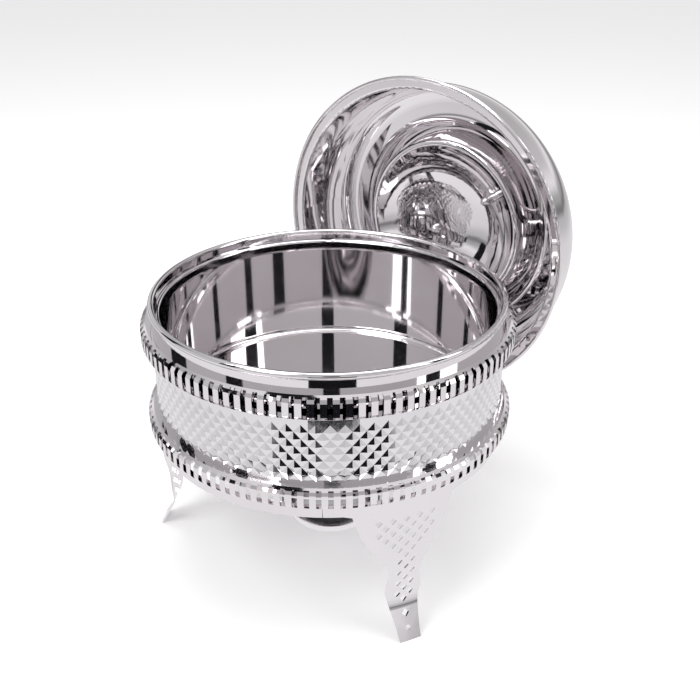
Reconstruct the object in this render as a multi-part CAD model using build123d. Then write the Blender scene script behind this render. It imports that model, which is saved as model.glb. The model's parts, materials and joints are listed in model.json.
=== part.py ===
"""Round chafing dish with a pierced frame, nested pans, a hung fuel burner and a lift-off domed lid.

Frame of the model: millimetres, +Z up, origin on the body axis at table height, -Y is the front.
The lid is parked upright behind the body, its rim in two hooks on the skirt.
"""
from build123d import *
import os
from math import asin, atan, atan2, cos, degrees, hypot, pi, radians, sin, sqrt, tan

os.makedirs("parts", exist_ok=True)

# ---------------------------------------------------------------- driving dimensions
# sheet thicknesses
FRAME_SHEET = 1.2
LEG_SHEET = 1.5
PAN_SHEET = 0.8
LID_SHEET = 1.0
# pans
FOOD_PAN_RADIUS = 148.8      # inside of the food pan's wall
FOOD_PAN_DEPTH = 92.3        # foot of the rim's shoulder to the floor
RIM_RECESS = 6.6             # bead centre down to the food pan's flange
RIM_ROLL_WIDTH = 4.3
RIM_ROLL_DROP = 10.0
BEAD_RADIUS = 3.0            # rolled rim of the water pan
WALL_SPACE = 1.6             # between the walls of the two pans
WATER_DEPTH = 8.0            # between the floors of the two pans
PAN_CORNER = 4.0
FLOOR_GROOVE_INSET = 7.0
# frame
SKIRT_CLEARANCE = 132.8      # table to the skirt's lower edge
SKIRT_HEIGHT = 9.6
SKIRT_STEP = 3.4             # how far the skirt stands out from the band
LOWER_GALLERY_HEIGHT = 21.6
UPPER_GALLERY_HEIGHT = 24.8
COLLAR_HEIGHT = 8.2
GALLERY_BULGE = 10.2         # how far each gallery stands out from the band
GALLERY_LIP = 2.0            # plain edge above and below the slots
SLOT_COUNT = 108
SLOT_SHARE = 0.45            # slot width over slot pitch
SLOT_MARGIN = 0.6            # slot end to the lip's bend
SEAM_WIDTH = 0.5             # open butt seam in the skirt
SEAM_AZIMUTH = -92.5
# legs
LEG_AZIMUTHS = {"leg_front_right": -67.0, "leg_rear": 53.0, "leg_left": 173.0}
FOOT_SPREAD = 14.0           # how far a toe stands out from the skirt
ANKLE_HEIGHT = 32.0
ANKLE_TUCK = 2.6             # how far the ankle stands in from the skirt
LEG_WAIST = 14.6             # half width at the narrowest
LEG_TOP = 46.0               # half width just under the skirt
LEG_SHOULDER = 57.0          # half width at the skirt
TOE_HALF_WIDTH = 10.2
FOOT_HOLE_RADIUS = 2.3
FOOT_HOLE_HEIGHT = 9.5
LATTICE_STEP = 6.2           # half the diagonal pitch of the square piercings
LATTICE_HOLE = 5.0           # side of one piercing
LATTICE_LOWEST = 21.5
# burner
CAN_RADIUS = 34.0
CAN_HEIGHT = 50.0
CAN_SHEET = 0.6
CAN_MOUTH_RADIUS = 17.0
CAN_SEAM_STEP = 0.7          # rolled seam standing out of the can
GEL_SPACE = 14.0             # air above the fuel
HOLDER_BASE = 22.4           # table to the underside of the holder
HOLDER_DEPTH = 11.2
HOLDER_CORNER = 6.0
HANGER_AZIMUTHS = {"rear": 90.0, "right": -10.0, "left": -170.0}
SPIDER_AZIMUTHS = (90.0, -30.0, -150.0)
HANGER_ROD_RADIUS = 2.5
SPIDER_SHEET = 2.0
SPIDER_ARM_WIDTH = 18.0
SPIDER_RING_WIDTH = 18.0
LUG_SHEET = 1.5
LUG_WIDTH = 12.0
LUG_END = 6.0                # lug past the middle of its rod
NUT_FLATS = 8.0
NUT_HEIGHT = 4.0
THREAD_END = 0.6             # rod standing out of a nut
SNUFFER_LAP = 5.0            # snuffer past the edge of the can's mouth
SNUFFER_SHEET = 1.5
BOSS_RADIUS = 6.0
BOSS_HEIGHT = 8.0
KNOB_RADIUS = 5.0
KNOB_HEIGHT = 12.0
KNOB_STEM = 2.0
COLLAR_RING_WIDTH = 2.5
COLLAR_RING_HEIGHT = 4.0
SNUFFER_PARK = 180.0         # turn from shut, over the mouth, to parked behind
# lid, drawn about its own axis: rim plane at height 0, crown up
LID_FLANGE_WIDTH = 10.5
LID_BEAD_RADIUS = 2.1
LID_SHOULDER_HEIGHT = 77.0
LID_CREASE_INSET = 64.2      # crease in from the wall
LID_CREASE_HEIGHT = 50.0
LID_VALLEY_WIDTH = 20.0      # shoulder's inner edge to the crease
LID_CROWN_HEIGHT = 99.0
HANDLE_SPAN = 75.0           # between the two studs
HANDLE_ANGLE = 144.0         # turn of the handle about the lid's axis when parked
HANDLE_HEIGHT = 44.0
HANDLE_RADIUS = 5.5
STUD_RADIUS = 2.5
WASHER_HEIGHT = 7.0
DOME_NUT_RADIUS = 4.6
DOME_NUT_HEIGHT = 4.0
# parked lid and its hooks
LID_AZIMUTH = 52.0           # way the crown points
LID_OFFSET = 21.8            # sideways, along the rim plane
HOOK_DROP = 43.4             # lid's lowest point below the skirt
HOOK_SPACING = 26.0          # each hook from the lid's lowest point
HOOK_WIDTH = 12.0
HOOK_SHEET = 2.5
HOOK_FINGER = 8.0
RIVET_RADIUS = 1.5
# fits
SEAT_GAP = 0.3               # under the rims of parts that lift out
SIDE_GAP = 0.5               # round parts that drop into a recess
LID_FIT = 0.6                # lid's rolled edge outside the pan's bead
PAN_GAP = 2.0                # water pan above the hanger rods
PIVOT_GAP = 0.06             # running clearance of the snuffer on its rod
SNUFFER_GAP = 1.0            # snuffer above the can
HOOK_GAP = 0.6               # hooks to the lid's rolled edge
PARK_GAP = 5.6               # lid's rolled edge outside the galleries

# ---------------------------------------------------------------- radii that follow
FOOD_WALL = FOOD_PAN_RADIUS + PAN_SHEET / 2
FLANGE_OUTSIDE = FOOD_WALL + RIM_ROLL_WIDTH
RECESS_WALL = FLANGE_OUTSIDE + SIDE_GAP + PAN_SHEET / 2
WATER_WALL = FOOD_WALL + PAN_SHEET + WALL_SPACE
BEAD_CIRCLE = RECESS_WALL + BEAD_RADIUS - PAN_SHEET / 2

BODY_RADIUS = BEAD_CIRCLE
BODY_INSIDE = BODY_RADIUS - FRAME_SHEET / 2
BODY_OUTSIDE = BODY_RADIUS + FRAME_SHEET / 2
GALLERY_CREST = BODY_RADIUS + GALLERY_BULGE
SKIRT_RADIUS = BODY_RADIUS + SKIRT_STEP
SKIRT_INSIDE = SKIRT_RADIUS - FRAME_SHEET / 2
SKIRT_OUTSIDE = SKIRT_RADIUS + FRAME_SHEET / 2
LEG_RADIUS = SKIRT_INSIDE - LEG_SHEET / 2
ANKLE_RADIUS = LEG_RADIUS - ANKLE_TUCK
TOE_RADIUS = SKIRT_OUTSIDE + FOOT_SPREAD - LEG_SHEET
FLARE = (TOE_RADIUS - ANKLE_RADIUS) / ANKLE_HEIGHT

HOLDER_FLOOR_RADIUS = CAN_RADIUS + 0.75 * HOLDER_CORNER
HOLDER_RADIUS = HOLDER_FLOOR_RADIUS + 0.3 * HOLDER_DEPTH + 1.2
HANGER_CIRCLE = HOLDER_RADIUS + HANGER_ROD_RADIUS + 4.5
SNUFFER_RADIUS = CAN_MOUTH_RADIUS + SNUFFER_LAP

LID_BEAD_CIRCLE = BEAD_CIRCLE + BEAD_RADIUS + LID_FIT + LID_BEAD_RADIUS
LID_WALL_RADIUS = LID_BEAD_CIRCLE - LID_FLANGE_WIDTH
LID_CREASE_RADIUS = LID_WALL_RADIUS - LID_CREASE_INSET
CROWN_CORNER = 0.625 * LID_CREASE_RADIUS
LID_PLANE_DISTANCE = GALLERY_CREST + FRAME_SHEET / 2 + PARK_GAP + LID_BEAD_RADIUS

# ---------------------------------------------------------------- heights that follow
SKIRT_TOP = SKIRT_CLEARANCE + SKIRT_HEIGHT
SPIDER_BASE = SKIRT_CLEARANCE + 0.4
SPIDER_TOP = SPIDER_BASE + SPIDER_SHEET
ROD_TOP = SPIDER_TOP + NUT_HEIGHT + THREAD_END

WATER_FLOOR = ROD_TOP + PAN_GAP + PAN_SHEET
FOOD_FLOOR = WATER_FLOOR + WATER_DEPTH + PAN_SHEET
FOOD_FLANGE = FOOD_FLOOR + FOOD_PAN_DEPTH + RIM_ROLL_DROP
WATER_LEDGE = FOOD_FLANGE - PAN_SHEET - SEAT_GAP
BEAD_HEIGHT = FOOD_FLANGE + RIM_RECESS
COLLAR_TOP = BEAD_HEIGHT - BEAD_RADIUS - SEAT_GAP
COLLAR_BOTTOM = COLLAR_TOP - COLLAR_HEIGHT
BAND_TOP = COLLAR_BOTTOM - UPPER_GALLERY_HEIGHT
BAND_BOTTOM = SKIRT_TOP + LOWER_GALLERY_HEIGHT

HOLDER_FLOOR = HOLDER_BASE + FRAME_SHEET
LUG_TOP = HOLDER_BASE + HOLDER_DEPTH - 0.5
LUG_BASE = LUG_TOP - LUG_SHEET
CAN_BASE = HOLDER_FLOOR + SEAT_GAP
CAN_TOP = CAN_BASE + CAN_HEIGHT
SNUFFER_BASE = CAN_TOP + SNUFFER_GAP
RIVET_HEIGHT = (SKIRT_CLEARANCE + SKIRT_TOP) / 2
LID_CENTRE_HEIGHT = SKIRT_CLEARANCE - HOOK_DROP + LID_BEAD_CIRCLE + LID_BEAD_RADIUS


# ---------------------------------------------------------------- helpers
def shifted(points, radii, distance):
    """Corners and fillet radii of a bent line moved sideways, to the left of its direction."""
    steps = [(b[0] - a[0], b[1] - a[1]) for a, b in zip(points[:-1], points[1:])]
    normals = [(-y / hypot(x, y), x / hypot(x, y)) for x, y in steps]
    first = (points[0][0] + normals[0][0] * distance, points[0][1] + normals[0][1] * distance)
    last = (points[-1][0] + normals[-1][0] * distance, points[-1][1] + normals[-1][1] * distance)
    corners = []
    bends = []
    for point, radius, n0, n1 in zip(points[1:-1], radii, normals[:-1], normals[1:]):
        share = distance / (1 + n0[0] * n1[0] + n0[1] * n1[1])
        corners.append((point[0] + (n0[0] + n1[0]) * share, point[1] + (n0[1] + n1[1]) * share))
        turn = n0[0] * n1[1] - n0[1] * n1[0]
        bends.append(radius - distance if turn > 0 else radius + distance)
    return [first] + corners + [last], bends


def sheet_face(points, radii, sheet):
    """Flat section of a bent sheet: points run along its middle, radii are its bends."""
    left, right = [
        FilletPolyline(*corners, radius=bends)
        for corners, bends in (shifted(points, radii, side * sheet / 2) for side in (1, -1))
    ]
    ends = [Line(left @ 0, right @ 0), Line(left @ 1, right @ 1)]
    return make_face(list(left.edges()) + list(right.edges()) + ends)


def facet_face(points, sheet):
    """Flat section of a sheet folded at sharp corners."""
    left, right = [shifted(points, [sheet] * len(points), side * sheet / 2)[0] for side in (1, -1)]
    return make_face(Polyline(*left, *reversed(right), close=True).edges())


def sheet_ring(points, radii, sheet, turn=360.0):
    """Bent sheet turned about Z: points are (radius, height) along its middle."""
    return revolve(Plane.XZ * sheet_face(points, radii, sheet), Axis.Z, turn)


def disc(radius, low, high):
    """Plain upright cylinder between two heights."""
    return Pos(0, 0, low) * Cylinder(radius, high - low, align=(Align.CENTER, Align.CENTER, Align.MIN))


def tube_ring(inner, outer, low, high):
    """Plain ring with flat ends."""
    return disc(outer, low, high) - disc(inner, low, high)


def cross_pin(radius, low, high, height):
    """Cylinder along X between two distances from the axis."""
    return Pos((low + high) / 2, 0, height) * Rot(0, 90, 0) * Cylinder(radius, high - low)


def hexagon_nut(flats, bore, low, height):
    """Hexagon nut with its lower face at height low."""
    face = RegularPolygon(flats / 2, 6, major_radius=False) - Circle(bore)
    return Pos(0, 0, low) * extrude(face, height)


def write(node, *shapes):
    """Write one node, as one solid or as a group of separate solids."""
    solids = [solid for shape in shapes for solid in shape.solids()]
    whole = solids[0] if len(solids) == 1 else Compound(children=solids)
    whole.label = node
    export_step(whole, f"parts/{node}.step")


def parked(shape):
    """Move a shape drawn about the lid's own axis to the parked lid's place."""
    azimuth = radians(LID_AZIMUTH)
    across = Vector(-sin(azimuth), cos(azimuth), 0)
    outward = Vector(cos(azimuth), sin(azimuth), 0)
    centre = outward * LID_PLANE_DISTANCE + across * LID_OFFSET + Vector(0, 0, LID_CENTRE_HEIGHT)
    return Plane(origin=centre, x_dir=across, z_dir=outward).location * shape


# ---------------------------------------------------------------- frame rings
def gallery(low, high, low_radius):
    """Bulged ring in straight facets, pierced all round with upright slots."""
    rise = high - low
    shares = [(0.0, 0.55), (0.10, 0.84), (0.22, 1.0), (0.78, 1.0), (0.90, 0.84), (1.0, 0.55)]
    curve = [(1 - turn, share) for turn, share in reversed(shares)]
    bottom = low + GALLERY_LIP
    height = rise - 2 * GALLERY_LIP
    profile = [(BODY_RADIUS, high), (BODY_RADIUS, high - GALLERY_LIP)]
    for down, bulge in curve:
        base = BODY_RADIUS if down < 0.5 else low_radius
        profile.append((base + (GALLERY_CREST - base) * bulge, bottom + height * (1 - down)))
    profile += [(low_radius, bottom), (low_radius, low)]
    ring = revolve(Plane.XZ * facet_face(profile, FRAME_SHEET), Axis.Z)
    slot_width = 2 * pi * GALLERY_CREST / SLOT_COUNT * SLOT_SHARE
    slot_height = height - 2 * SLOT_MARGIN
    slot = Pos(GALLERY_CREST, 0, (low + high) / 2) * Box(4 * GALLERY_BULGE, slot_width, slot_height)
    return ring - [Rot(0, 0, 360 / SLOT_COUNT * k) * slot for k in range(SLOT_COUNT)]


def frame_rings():
    """The five rings that are joined edge to edge into the body of the frame."""
    write("frame_collar", tube_ring(BODY_INSIDE, BODY_OUTSIDE, COLLAR_BOTTOM, COLLAR_TOP))
    write("upper_gallery", gallery(BAND_TOP, COLLAR_BOTTOM, BODY_RADIUS))
    write("embossed_band", tube_ring(BODY_INSIDE, BODY_OUTSIDE, BAND_BOTTOM, BAND_TOP))
    write("lower_gallery", gallery(SKIRT_TOP, BAND_BOTTOM, SKIRT_RADIUS))
    skirt = tube_ring(SKIRT_INSIDE, SKIRT_OUTSIDE, SKIRT_CLEARANCE, SKIRT_TOP)
    seam = Pos(SKIRT_RADIUS, 0, RIVET_HEIGHT) * Box(4 * FRAME_SHEET, SEAM_WIDTH, 2 * SKIRT_HEIGHT)
    skirt -= Rot(0, 0, SEAM_AZIMUTH) * seam
    for place in hook_places():
        skirt -= place * cross_pin(RIVET_RADIUS, SKIRT_INSIDE / 2, SKIRT_OUTSIDE + 4, RIVET_HEIGHT)
    write("skirt_ring", skirt)


# ---------------------------------------------------------------- legs
def leg_edge():
    """Outline of one side of a leg as (half width, height), from toe to skirt."""
    reach = SKIRT_CLEARANCE
    return [
        (TOE_HALF_WIDTH, 0.0),
        (TOE_HALF_WIDTH + 1.2, 0.10 * reach),
        (LEG_WAIST + 0.6, 0.26 * reach),
        (LEG_WAIST + 2.3, 0.33 * reach),
        (LEG_WAIST, 0.48 * reach),
        (LEG_WAIST + 4.0, 0.57 * reach),
        (0.72 * LEG_TOP, 0.73 * reach),
        (0.93 * LEG_TOP, 0.90 * reach),
        (LEG_TOP, 0.98 * reach),
    ]


def lattice_half_width(share):
    """Half width of the pierced field at a share of the leg's height."""
    marks = [(0.0, 1.0), (0.235, 3.0), (0.27, 6.5), (0.59, 6.5), (0.70, 19.0), (0.94, 32.0), (1.0, 36.0)]
    for (low, narrow), (high, wide) in zip(marks[:-1], marks[1:]):
        if low <= share <= high:
            width = narrow + (wide - narrow) * (share - low) / (high - low)
            return width * min(1.0, LEG_TOP / 46.0)
    return 0.0


def piercings():
    """Square holes set cornerwise on a diagonal grid, and the round hole at the toe."""
    reach = 2 * LEG_RADIUS
    square = Rot(45, 0, 0) * Box(reach, LATTICE_HOLE, LATTICE_HOLE)
    toe = Pos(TOE_RADIUS - FLARE * FOOT_HOLE_HEIGHT, 0, FOOT_HOLE_HEIGHT)
    holes = [toe * Rot(0, 90 - degrees(atan(FLARE)), 0) * Cylinder(FOOT_HOLE_RADIUS, 6 * LEG_SHEET)]
    rows = int((SKIRT_CLEARANCE - LATTICE_STEP - LATTICE_LOWEST) / LATTICE_STEP) + 1
    columns = int(LEG_TOP / LATTICE_STEP)
    for row in range(rows):
        height = LATTICE_LOWEST + row * LATTICE_STEP
        for column in range(-columns, columns + 1):
            across = column * LATTICE_STEP
            if (row + column) % 2 == 0 and abs(across) <= lattice_half_width(height / SKIRT_CLEARANCE):
                holes.append(Pos(LEG_RADIUS, across, height) * square)
    return holes


def leg():
    """One stamped leg, drawn on the +X side, curved to the skirt and flared at the toe."""
    below = 4.0
    profile = [
        (LEG_RADIUS, SKIRT_TOP - 0.4),
        (LEG_RADIUS, 0.56 * SKIRT_CLEARANCE),
        (ANKLE_RADIUS, ANKLE_HEIGHT),
        (TOE_RADIUS + FLARE * below, -below),
    ]
    half_angle = degrees(asin(min(0.95, 1.1 * LEG_SHOULDER / LEG_RADIUS)))
    strip = Rot(0, 0, -half_angle) * sheet_ring(profile, [120, 26], LEG_SHEET, 2 * half_angle)

    edge = Spline(*leg_edge())
    shoulder = (LEG_SHOULDER, SKIRT_CLEARANCE)
    top = (LEG_SHOULDER, SKIRT_TOP + 1)
    side = [edge, Line(edge @ 1, shoulder), Line(shoulder, top)]
    ends = [Line(top, (-top[0], top[1])), Line(edge @ 0, (-TOE_HALF_WIDTH, 0))]
    outline = make_face(side + [mirror(line, Plane.YZ) for line in side] + ends)
    blank = extrude(Plane.YZ * outline, 2 * LEG_RADIUS)
    return (strip & blank) - piercings()


def legs():
    """Three equal legs inside the skirt."""
    one = leg()
    for node, azimuth in LEG_AZIMUTHS.items():
        write(node, Rot(0, 0, azimuth) * one)


# ---------------------------------------------------------------- pans
def water_pan():
    """Outer pan: rolled bead, recess for the food pan's flange, straight wall and floor."""
    floor = WATER_FLOOR - PAN_SHEET / 2
    ledge = WATER_LEDGE - PAN_SHEET / 2
    path = [
        (RECESS_WALL, BEAD_HEIGHT),
        (RECESS_WALL, ledge),
        (WATER_WALL, ledge),
        (WATER_WALL, floor),
        (0, floor),
    ]
    shell = sheet_ring(path, [0.6, 0.6, PAN_CORNER], PAN_SHEET)
    write("water_pan", shell + Pos(0, 0, BEAD_HEIGHT) * Torus(BEAD_CIRCLE, BEAD_RADIUS))


def food_pan():
    """Inner pan: flange, rounded shoulder, straight wall, and a groove round the floor."""
    level = FOOD_FLANGE - PAN_SHEET / 2
    floor = FOOD_FLOOR - PAN_SHEET / 2
    groove = FOOD_PAN_RADIUS - FLOOR_GROOVE_INSET
    path = [
        (FLANGE_OUTSIDE, level),
        (FOOD_WALL + 0.3 * RIM_ROLL_WIDTH, level),
        (FOOD_WALL, level - 0.8 * RIM_ROLL_DROP),
        (FOOD_WALL, floor),
        (groove + 2.0, floor),
        (groove, floor - 0.6),
        (groove - 2.0, floor),
        (0, floor),
    ]
    write("food_pan", sheet_ring(path, [2.2, 14.0, PAN_CORNER, 1.2, 1.2, 1.2], PAN_SHEET))


# ---------------------------------------------------------------- burner
def hanger_places():
    """Places of the three hanger rods, by name."""
    return {
        name: Rot(0, 0, azimuth) * Pos(HANGER_CIRCLE, 0, 0)
        for name, azimuth in HANGER_AZIMUTHS.items()
    }


def spider():
    """Flat ring with three arms whose turned-up tabs are welded inside the skirt."""
    tab_top = SKIRT_TOP - 1.0
    tab_wall = tube_ring(SKIRT_INSIDE - SPIDER_SHEET, SKIRT_INSIDE, SPIDER_BASE, tab_top)
    arm = Pos(SKIRT_INSIDE / 2, 0, (SPIDER_BASE + SPIDER_TOP) / 2)
    arm *= Box(SKIRT_INSIDE + 4, SPIDER_ARM_WIDTH, SPIDER_SHEET)
    tab = Pos(SKIRT_INSIDE, 0, SPIDER_TOP) * Box(12, SPIDER_ARM_WIDTH, 4 * SKIRT_HEIGHT) & tab_wall
    plate = disc(HANGER_CIRCLE + SPIDER_RING_WIDTH / 2, SPIDER_BASE, SPIDER_TOP)
    for azimuth in SPIDER_AZIMUTHS:
        plate += Rot(0, 0, azimuth) * (arm & disc(SKIRT_INSIDE, SPIDER_BASE, SPIDER_TOP))
        plate += Rot(0, 0, azimuth) * tab
    plate -= disc(HANGER_CIRCLE - SPIDER_RING_WIDTH / 2, SPIDER_BASE - 1, SPIDER_TOP + 1)
    for place in hanger_places().values():
        plate -= place * disc(HANGER_ROD_RADIUS, 0, SKIRT_TOP)
    write("burner_spider", plate)


def burner_holder():
    """Shallow round cup with three lugs for the hanger rods."""
    middle = HOLDER_BASE + FRAME_SHEET / 2
    brim = HOLDER_BASE + HOLDER_DEPTH
    path = [
        (0, middle),
        (HOLDER_FLOOR_RADIUS, middle),
        (HOLDER_RADIUS - 1.2, brim - 2.4),
        (HOLDER_RADIUS - 0.2, brim),
    ]
    cup = sheet_ring(path, [HOLDER_CORNER, 3.0], FRAME_SHEET)
    inner = HOLDER_RADIUS - 1.6
    length = HANGER_CIRCLE + LUG_END - inner
    lug = Pos(inner + length / 2, 0, LUG_BASE + LUG_SHEET / 2) * Box(length, LUG_WIDTH, LUG_SHEET)
    for azimuth in HANGER_AZIMUTHS.values():
        cup += Rot(0, 0, azimuth) * lug
    for place in hanger_places().values():
        cup -= place * disc(HANGER_ROD_RADIUS, 0, brim + 5)
    write("burner_holder", cup)


def hangers():
    """Three rods from the spider to the holder's lugs, with a nut at each end."""
    low_nut = LUG_BASE - NUT_HEIGHT
    nuts = []
    for name, place in hanger_places().items():
        write(f"hanger_rod_{name}", place * disc(HANGER_ROD_RADIUS, low_nut - THREAD_END, ROD_TOP))
        for height in (SPIDER_TOP, low_nut):
            nuts.append(place * hexagon_nut(NUT_FLATS, HANGER_ROD_RADIUS, height, NUT_HEIGHT))
    write("hanger_nuts", *nuts)


def fuel_can():
    """Open tin with a pressed top and a round mouth, part filled with gel fuel."""
    inside = CAN_RADIUS - CAN_SHEET
    shell = disc(CAN_RADIUS, CAN_BASE, CAN_TOP - CAN_SHEET) - disc(inside, CAN_BASE + CAN_SHEET, CAN_TOP)
    write("fuel_can", shell)
    write("can_seam_ring", tube_ring(CAN_RADIUS, CAN_RADIUS + CAN_SEAM_STEP, CAN_TOP - 3.0, CAN_TOP - 1.0))
    write("can_top", tube_ring(CAN_MOUTH_RADIUS, CAN_RADIUS, CAN_TOP - CAN_SHEET, CAN_TOP))
    write("fuel_gel", disc(inside, CAN_BASE + CAN_SHEET, CAN_TOP - GEL_SPACE))


def snuffer():
    """Cover that swings on the rear rod over the can's mouth, its knob, and the collar under it."""
    pivot = hanger_places()["rear"] * Rot(0, 0, 180)
    top = SNUFFER_BASE + SNUFFER_SHEET
    bridge = Pos(HANGER_CIRCLE / 2, 0, (SNUFFER_BASE + top) / 2)
    cover = Pos(HANGER_CIRCLE, 0, 0) * disc(SNUFFER_RADIUS, SNUFFER_BASE, top)
    cover += bridge * Box(HANGER_CIRCLE, 2 * BOSS_RADIUS, SNUFFER_SHEET)
    cover += disc(BOSS_RADIUS, SNUFFER_BASE, SNUFFER_BASE + BOSS_HEIGHT)
    cover -= disc(HANGER_ROD_RADIUS + PIVOT_GAP, SNUFFER_BASE - 1, SNUFFER_BASE + BOSS_HEIGHT + 1)
    knob = disc(KNOB_STEM, top, top + KNOB_HEIGHT / 2)
    knob += Pos(0, 0, top + KNOB_HEIGHT - KNOB_RADIUS) * Sphere(KNOB_RADIUS)
    parked_open = pivot * Rot(0, 0, SNUFFER_PARK)
    write("snuffer_cover", parked_open * cover)
    write("snuffer_knob", parked_open * Pos(HANGER_CIRCLE, 0, 0) * knob)
    seat = SNUFFER_BASE - SEAT_GAP
    ring = tube_ring(HANGER_ROD_RADIUS, HANGER_ROD_RADIUS + COLLAR_RING_WIDTH, seat - COLLAR_RING_HEIGHT, seat)
    write("snuffer_collar", pivot * ring)


# ---------------------------------------------------------------- lid
def crown_bend():
    """Radius of the arc that rounds the crown into its level top, and how far it reaches."""
    rise = LID_CROWN_HEIGHT - LID_CREASE_HEIGHT
    run = LID_CREASE_RADIUS - CROWN_CORNER
    reach = min(0.86 * CROWN_CORNER, hypot(rise, run) - 6.0)
    return reach / tan(atan2(rise, run) / 2), reach


def crown_height(radius):
    """Height of the crown's middle surface at a distance from the lid's axis."""
    bend, reach = crown_bend()
    beyond = max(0.0, radius - (CROWN_CORNER - reach))
    return LID_CROWN_HEIGHT - bend + sqrt(bend**2 - beyond**2)


def crown_points():
    """Middle line of the crown's sheet, from the crease to the axis."""
    return [
        (LID_CREASE_RADIUS, LID_CREASE_HEIGHT),
        (CROWN_CORNER, LID_CROWN_HEIGHT),
        (0, LID_CROWN_HEIGHT),
    ]


def lid_shell():
    """Domed lid: rolled edge, flat flange, steep wall, rounded shoulder, sunk crease and crown."""
    level = LID_BEAD_RADIUS - LID_SHEET / 2
    path = [
        (LID_BEAD_CIRCLE, level),
        (LID_WALL_RADIUS, level),
        (LID_WALL_RADIUS, 0.65 * LID_SHOULDER_HEIGHT),
        (0.92 * LID_WALL_RADIUS, LID_SHOULDER_HEIGHT),
        (LID_CREASE_RADIUS + LID_VALLEY_WIDTH, LID_SHOULDER_HEIGHT),
    ]
    shell = sheet_ring(path + crown_points(), [2.5, 60, 22, 14, 3.5, crown_bend()[0]], LID_SHEET)
    shell += Torus(LID_BEAD_CIRCLE, LID_BEAD_RADIUS)
    for stud in stud_places():
        shell -= stud * disc(STUD_RADIUS, 0, 2 * LID_CROWN_HEIGHT)
    write("lid_shell", parked(shell))


def stud_places():
    """Places of the two handle studs on the crown, in the lid's own frame."""
    return [Rot(0, 0, HANDLE_ANGLE) * Pos(side * HANDLE_SPAN / 2, 0, 0) for side in (1, -1)]


def handle(foot, socket_top):
    """Round-section arched handle with a blind hole for a stud in each foot."""
    half = HANDLE_SPAN / 2
    peak = foot + HANDLE_HEIGHT
    path = Plane.XZ * FilletPolyline((-half, foot), (-half, peak), (half, peak), (half, foot), radius=0.9 * half)
    bar = sweep(Plane(origin=path @ 0, z_dir=path % 0) * Circle(HANDLE_RADIUS), path)
    for side in (1, -1):
        bar -= Pos(side * half, 0, 0) * disc(STUD_RADIUS, foot - 1, socket_top)
    return Rot(0, 0, HANDLE_ANGLE) * bar


def lid_fittings():
    """Arched handle with its studs, shaped washers and domed nuts."""
    seat = crown_height(HANDLE_SPAN / 2)
    foot = seat + WASHER_HEIGHT
    socket_top = foot + 0.35 * HANDLE_HEIGHT
    nut_base = seat - LID_SHEET / 2 - DOME_NUT_HEIGHT - DOME_NUT_RADIUS
    bore = disc(STUD_RADIUS, nut_base + DOME_NUT_RADIUS - 1.0, socket_top)
    skin = sheet_ring(crown_points(), [crown_bend()[0]], LID_SHEET)
    dome = disc(DOME_NUT_RADIUS, nut_base + DOME_NUT_RADIUS, seat + WASHER_HEIGHT / 2)
    dome += Pos(0, 0, nut_base + DOME_NUT_RADIUS) * Sphere(DOME_NUT_RADIUS)
    post = disc(HANDLE_RADIUS + 3, seat - WASHER_HEIGHT, foot)
    studs = []
    washers = []
    nuts = []
    for place in stud_places():
        studs.append(place * bore)
        washers.append((place * (post - bore) - skin).solids().sort_by(Axis.Z)[-1])
        nuts.append((place * (dome - bore) - skin).solids().sort_by(Axis.Z)[0])
    write("lid_handle", parked(handle(foot, socket_top)))
    write("handle_studs", *[parked(stud) for stud in studs])
    write("handle_washers", *[parked(washer) for washer in washers])
    write("dome_nuts", *[parked(nut) for nut in nuts])


# ---------------------------------------------------------------- hooks for the parked lid
def hook_places():
    """Places of the two hooks' middle planes: X is outward from the body, Y is sideways."""
    offsets = [LID_OFFSET + side * HOOK_SPACING for side in (-1, 1)]
    return [Rot(0, 0, LID_AZIMUTH) * Pos(0, offset, 0) for offset in offsets]


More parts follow.
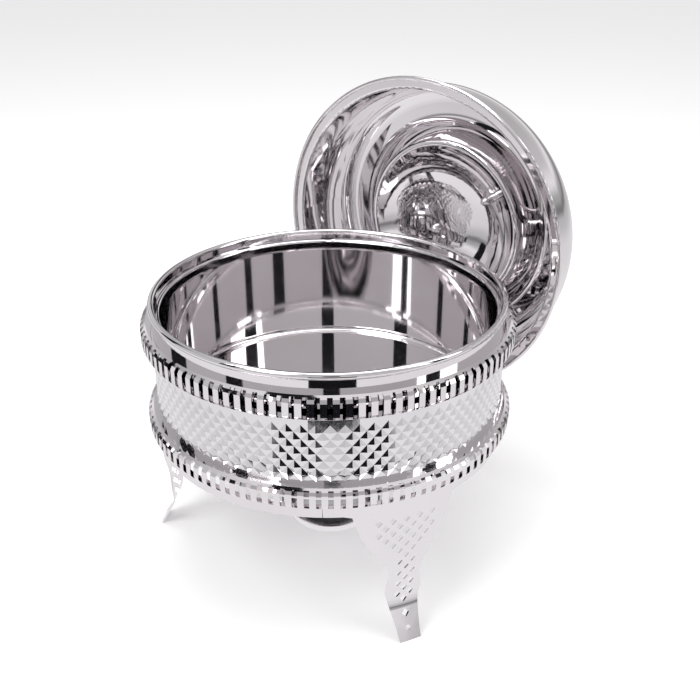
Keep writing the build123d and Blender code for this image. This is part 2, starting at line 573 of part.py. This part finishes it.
def lid_hooks():
    """Two bent strips riveted to the skirt that hold the lid by its rolled edge."""
    drop = sqrt((LID_BEAD_CIRCLE + LID_BEAD_RADIUS) ** 2 - HOOK_SPACING**2)
    cradle = LID_CENTRE_HEIGHT - drop - 2 * HOOK_GAP - HOOK_SHEET / 2
    reach = LID_BEAD_RADIUS + HOOK_GAP + HOOK_SHEET / 2
    inner = LID_PLANE_DISTANCE - reach
    outer = LID_PLANE_DISTANCE + reach
    lid_wall_low = LID_CENTRE_HEIGHT - LID_WALL_RADIUS - LID_SHEET - 2
    finger_top = min(cradle + HOOK_SHEET / 2 + HOOK_FINGER, lid_wall_low)
    rivets = []
    for name, place, side in zip(("lid_hook_right", "lid_hook_left"), hook_places(), (-1, 1)):
        offset = abs(LID_OFFSET + side * HOOK_SPACING)
        near_edge = max(0.0, offset - HOOK_WIDTH / 2)
        back = sqrt(SKIRT_OUTSIDE**2 - near_edge**2) + SEAT_GAP + HOOK_SHEET / 2
        profile = [
            (back, SKIRT_TOP - 0.6),
            (back, SKIRT_CLEARANCE - 4),
            (inner, cradle + 16),
            (inner, cradle),
            (outer, cradle),
            (outer, finger_top),
        ]
        section = Plane.XZ * sheet_face(profile, [5, 5, 0.9 * reach, 0.9 * reach], HOOK_SHEET)
        hook = extrude(section, HOOK_WIDTH / 2, both=True)
        hook += Pos(back - 6, 0, RIVET_HEIGHT) * Box(12, HOOK_WIDTH, SKIRT_HEIGHT - 1.2)
        hook = place * (hook - cross_pin(RIVET_RADIUS, 0, 2 * back, RIVET_HEIGHT))
        write(name, hook - disc(SKIRT_OUTSIDE, 0, 2 * SKIRT_TOP))

        face = back + HOOK_SHEET / 2
        blind = sqrt(SKIRT_INSIDE**2 - max(0.0, offset - RIVET_RADIUS) ** 2) + SEAT_GAP
        cap = Sphere(2 * RIVET_RADIUS) & disc(2 * RIVET_RADIUS, 0, 2 * RIVET_RADIUS)
        head = Pos(face, 0, RIVET_HEIGHT) * Rot(0, 90, 0) * cap
        rivets.append(place * (cross_pin(RIVET_RADIUS, blind, face, RIVET_HEIGHT) + head))
    write("hook_rivets", *rivets)


# ---------------------------------------------------------------- build
frame_rings()
legs()
spider()
burner_holder()
hangers()
water_pan()
food_pan()
fuel_can()
snuffer()
lid_shell()
lid_fittings()
lid_hooks()
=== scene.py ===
"""Looks for the round chafing dish: camera, studio, polished steel, pressed diamond band."""
import json
from math import cos, pi, radians, sin

import bmesh
import bpy
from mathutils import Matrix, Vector


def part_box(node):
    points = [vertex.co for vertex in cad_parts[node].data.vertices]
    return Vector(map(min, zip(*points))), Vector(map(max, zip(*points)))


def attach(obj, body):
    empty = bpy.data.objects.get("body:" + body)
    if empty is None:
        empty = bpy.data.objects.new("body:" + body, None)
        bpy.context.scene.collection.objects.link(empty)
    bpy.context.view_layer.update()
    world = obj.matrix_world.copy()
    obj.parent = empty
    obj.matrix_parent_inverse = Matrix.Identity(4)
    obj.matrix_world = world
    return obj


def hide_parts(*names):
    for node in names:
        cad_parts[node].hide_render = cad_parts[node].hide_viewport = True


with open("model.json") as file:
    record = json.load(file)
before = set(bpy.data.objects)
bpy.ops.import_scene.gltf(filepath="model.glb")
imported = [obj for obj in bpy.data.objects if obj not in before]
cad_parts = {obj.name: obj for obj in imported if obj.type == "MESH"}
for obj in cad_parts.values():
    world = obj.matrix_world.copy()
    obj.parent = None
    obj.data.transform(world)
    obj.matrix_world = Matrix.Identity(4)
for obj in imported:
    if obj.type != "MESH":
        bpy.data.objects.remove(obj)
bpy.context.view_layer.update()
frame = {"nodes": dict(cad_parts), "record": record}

# ------------------------------------------------------------ measures, in metres
CAMERA_PLACE = (0.0, -0.7814, 0.6022)
CAMERA_PITCH = 27.11          # degrees below level
CAMERA_YAW = 1.4              # degrees to the right
CAMERA_LENS = 48.9
BAND_COLUMNS = 86             # diamonds round the band
BAND_ROWS = 7                 # rows of pyramid tips
BAND_ROW_STEP = 0.00656
PYRAMID_HEIGHT = 0.0013
BAND_DROP = 0.0025            # pattern's middle below the band's
SHEET = 0.0012
FLOOR_DROP = 0.0005           # floor under the feet
FLOOR_SIZE = 60.0
FLOOR_GLOW = 0.22

# share of each noise pattern's scale, and the part of its range that is used
FINE_SCALE = 14
WAVE_SCALE = 1.4
NOISE_LOW, NOISE_HIGH = 0.3, 0.7
TINT_LOW, TINT_HIGH = 0.32, 0.68
RIPPLE_DEPTH = 0.001


# ------------------------------------------------------------ materials
def node(tree, kind, **inputs):
    """Adds one shader node with its input values."""
    made = tree.nodes.new(kind)
    for name, value in inputs.items():
        made.inputs[name].default_value = value
    return made


def metal(name, tint, shade, rough, ripple, scale, spread):
    """Metal with drifting tint, uneven polish, faint wipe marks and a slight ripple."""
    material = bpy.data.materials.new(name)
    material.use_nodes = True
    tree = material.node_tree
    shader = tree.nodes["Principled BSDF"]
    shader.inputs["Metallic"].default_value = 1.0
    place = tree.nodes.new("ShaderNodeTexCoord")

    broad = node(tree, "ShaderNodeTexNoise", Scale=scale, Detail=3.0, Roughness=0.5)
    tree.links.new(place.outputs["Object"], broad.inputs["Vector"])
    ramp = tree.nodes.new("ShaderNodeValToRGB")
    ramp.color_ramp.elements[0].position = TINT_LOW
    ramp.color_ramp.elements[0].color = (*shade, 1)
    ramp.color_ramp.elements[1].position = TINT_HIGH
    ramp.color_ramp.elements[1].color = (*tint, 1)
    tree.links.new(broad.outputs["Fac"], ramp.inputs["Fac"])
    tree.links.new(ramp.outputs["Color"], shader.inputs["Base Color"])

    fine = node(tree, "ShaderNodeTexNoise", Scale=scale * FINE_SCALE, Detail=6.0, Roughness=0.65)
    tree.links.new(place.outputs["Object"], fine.inputs["Vector"])
    polish = tree.nodes.new("ShaderNodeMapRange")
    polish.inputs["From Min"].default_value = NOISE_LOW
    polish.inputs["From Max"].default_value = NOISE_HIGH
    polish.inputs["To Min"].default_value = rough
    polish.inputs["To Max"].default_value = rough + spread
    tree.links.new(fine.outputs["Fac"], polish.inputs["Value"])
    tree.links.new(polish.outputs["Result"], shader.inputs["Roughness"])

    wave = node(tree, "ShaderNodeTexNoise", Scale=scale * WAVE_SCALE, Detail=1.0, Roughness=0.3)
    tree.links.new(place.outputs["Object"], wave.inputs["Vector"])
    bump = node(tree, "ShaderNodeBump", Strength=ripple, Distance=RIPPLE_DEPTH)
    tree.links.new(wave.outputs["Fac"], bump.inputs["Height"])
    tree.links.new(bump.outputs["Normal"], shader.inputs["Normal"])
    return material


def moulded(name, colour, dark, rough, scale):
    """Plastic or gel with a fine grain and a little change of colour."""
    material = metal(name, colour, dark, rough, 0.25, scale, 0.12)
    material.node_tree.nodes["Principled BSDF"].inputs["Metallic"].default_value = 0.0
    return material


# slot: maker, name, light tint, dark tint, roughness, then ripple, scale and spread of the roughness
MATERIALS = {
    "polished_stainless": metal(
        "polished steel", (0.86, 0.84, 0.86), (0.80, 0.77, 0.78), 0.03, 0.03, 7.0, 0.035
    ),
    "embossed_stainless": metal(
        "pressed steel", (0.86, 0.84, 0.86), (0.80, 0.79, 0.81), 0.07, 0.08, 20.0, 0.06
    ),
    "plain_stainless": metal(
        "satin steel", (0.72, 0.71, 0.72), (0.62, 0.61, 0.62), 0.2, 0.15, 30.0, 0.12
    ),
    "tin_can": metal("tinplate", (0.50, 0.50, 0.52), (0.36, 0.36, 0.38), 0.22, 0.25, 40.0, 0.18),
    "fuel_gel": moulded("fuel gel", (0.40, 0.14, 0.38), (0.28, 0.08, 0.27), 0.12, 60.0),
    "black_knob": moulded("knob plastic", (0.03, 0.03, 0.032), (0.018, 0.018, 0.02), 0.4, 300.0),
}
for part in frame["record"]["subparts"]:
    shown = frame["nodes"][part["node"]]
    shown.data.materials.clear()
    shown.data.materials.append(MATERIALS[part["material_slot"]])


# ------------------------------------------------------------ pressed band
def band_row(level, heights, radius, count):
    """Ring of points at one level, each standing out by its own height."""
    return [
        (
            (radius + heights[k]) * cos(2 * pi * k / count),
            (radius + heights[k]) * sin(2 * pi * k / count),
            level,
        )
        for k in range(count)
    ]


def pressed_band():
    """Band of sheet with rows of small four-sided pyramids pressed out of it."""
    low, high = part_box("embossed_band")
    radius = high[0]
    count = 2 * BAND_COLUMNS
    middle = (low[2] + high[2]) / 2 - BAND_DROP
    steps = BAND_ROWS + 1
    flat = [0.0] * count
    rows = [band_row(low[2], flat, radius, count)]
    for row in range(steps + 1):
        level = middle + (row - steps / 2) * BAND_ROW_STEP
        inner = 0 < row < steps
        raised = [PYRAMID_HEIGHT if inner and (row + k) % 2 == 0 else 0.0 for k in range(count)]
        rows.append(band_row(level, raised, radius, count))
    rows.append(band_row(high[2], flat, radius, count))
    rows.append(band_row(high[2], flat, radius - SHEET, count))
    rows.append(band_row(low[2], flat, radius - SHEET, count))

    shape = bmesh.new()
    grid = [[shape.verts.new(point) for point in row] for row in rows]
    for index, lower in enumerate(grid):
        upper = grid[(index + 1) % len(grid)]
        for k in range(count):
            a, b = lower[k], lower[(k + 1) % count]
            d, c = upper[k], upper[(k + 1) % count]
            if 1 <= index <= steps:
                if (index - 1 + k) % 2 == 0:
                    shape.faces.new((a, b, d))
                    shape.faces.new((b, c, d))
                else:
                    shape.faces.new((a, b, c))
                    shape.faces.new((a, c, d))
            else:
                shape.faces.new((a, b, c, d))
    bmesh.ops.recalc_face_normals(shape, faces=shape.faces)
    mesh = bpy.data.meshes.new("pressed_band")
    shape.to_mesh(mesh)
    shape.free()
    band = bpy.data.objects.new("pressed_band", mesh)
    bpy.context.collection.objects.link(band)
    band.data.materials.append(MATERIALS["embossed_stainless"])
    return band


band = pressed_band()
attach(band, "frame")
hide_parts("embossed_band")


# ------------------------------------------------------------ studio
def stage_card(name, size, place, aim, colour, glow):
    """Flat card that faces a point; it lights or darkens what the steel reflects."""
    mesh = bpy.data.meshes.new(name)
    w, h = size[0] / 2, size[1] / 2
    mesh.from_pydata([(-w, -h, 0), (w, -h, 0), (w, h, 0), (-w, h, 0)], [], [(0, 1, 2, 3)])
    card = bpy.data.objects.new(name, mesh)
    bpy.context.collection.objects.link(card)
    card.location = place
    card.rotation_euler = (Vector(aim) - Vector(place)).to_track_quat("Z", "Y").to_euler()
    material = bpy.data.materials.new(name)
    material.use_nodes = True
    shader = material.node_tree.nodes["Principled BSDF"]
    shader.inputs["Base Color"].default_value = (*colour, 1)
    shader.inputs["Roughness"].default_value = 0.9
    shader.inputs["Specular IOR Level"].default_value = 0.0
    shader.inputs["Emission Color"].default_value = (*colour, 1)
    shader.inputs["Emission Strength"].default_value = glow
    mesh.materials.append(material)
    return card


def area_light(name, place, aim, size, power):
    """Soft rectangular light."""
    lamp = bpy.data.lights.new(name, "AREA")
    lamp.shape = "RECTANGLE"
    lamp.size, lamp.size_y = size
    lamp.energy = power
    made = bpy.data.objects.new(name, lamp)
    bpy.context.collection.objects.link(made)
    made.location = place
    made.rotation_euler = (Vector(aim) - Vector(place)).to_track_quat("-Z", "Y").to_euler()


AIM = (0.0, 0.0, 0.2)
floor = stage_card(
    "floor", (FLOOR_SIZE, FLOOR_SIZE), (0, 0, -FLOOR_DROP), (0, 0, 1), (0.93, 0.93, 0.93), FLOOR_GLOW
)
floor.visible_glossy = False
for name, size, place in (
    ("dark_card_left", (0.34, 1.6), (-1.5, -0.9, 0.9)),
    ("dark_card_right", (0.30, 1.6), (1.5, -0.7, 0.9)),
    ("dark_card_back", (0.45, 0.8), (-0.05, 1.7, 1.0)),
    ("dark_card_front", (0.28, 0.6), (0.03, -1.7, 0.9)),
    ("dark_card_side", (0.5, 1.2), (-1.7, 0.5, 0.8)),
    ("dark_card_overhead", (0.9, 0.5), (-0.5, -0.6, 2.4)),
    ("dark_card_low", (0.34, 0.34), (0.02, -0.75, 0.02)),
):
    card = stage_card(name, size, place, AIM, (0.01, 0.01, 0.012), 0.0)
    card.visible_camera = False
    card.visible_shadow = False
    card.visible_diffuse = False

area_light("key", (-1.2, -1.0, 1.9), AIM, (1.2, 1.2), 20)
area_light("fill", (1.6, -0.6, 1.4), AIM, (1.0, 1.6), 12)
area_light("top", (0.0, 0.4, 2.2), AIM, (1.6, 1.0), 14)

# brightness of the studio from straight down (0) through level (0.5) to straight up (1)
STUDIO_BANDS = (
    (0.00, 0.92), (0.20, 0.90), (0.36, 0.78), (0.46, 0.55), (0.50, 0.22),
    (0.54, 0.42), (0.60, 0.88), (0.68, 0.60), (0.80, 0.45), (1.00, 0.85),
)
world = bpy.data.worlds.new("studio")
world.use_nodes = True
room = world.node_tree
direction = room.nodes.new("ShaderNodeTexCoord")
split = room.nodes.new("ShaderNodeSeparateXYZ")
level = room.nodes.new("ShaderNodeMapRange")
level.inputs["From Min"].default_value = -1.0
bands = room.nodes.new("ShaderNodeValToRGB")
bands.color_ramp.interpolation = "EASE"
for index, (place, bright) in enumerate(STUDIO_BANDS):
    if index < 2:
        stop = bands.color_ramp.elements[index]
        stop.position = place
    else:
        stop = bands.color_ramp.elements.new(place)
    stop.color = (bright, 0.985 * bright, bright, 1)
room.links.new(direction.outputs["Generated"], split.inputs["Vector"])
room.links.new(split.outputs["Z"], level.inputs["Value"])
room.links.new(level.outputs["Result"], bands.inputs["Fac"])
room.links.new(bands.outputs["Color"], room.nodes["Background"].inputs["Color"])
room.nodes["Background"].inputs["Strength"].default_value = 1.0
bpy.context.scene.world = world
bpy.context.scene.view_settings.view_transform = "Standard"

lens = bpy.data.cameras.new("camera")
lens.lens = CAMERA_LENS
lens.sensor_width = 36.0
camera = bpy.data.objects.new("camera", lens)
bpy.context.collection.objects.link(camera)
camera.location = CAMERA_PLACE
camera.rotation_euler = (radians(90 - CAMERA_PITCH), 0, radians(-CAMERA_YAW))
bpy.context.scene.camera = camera
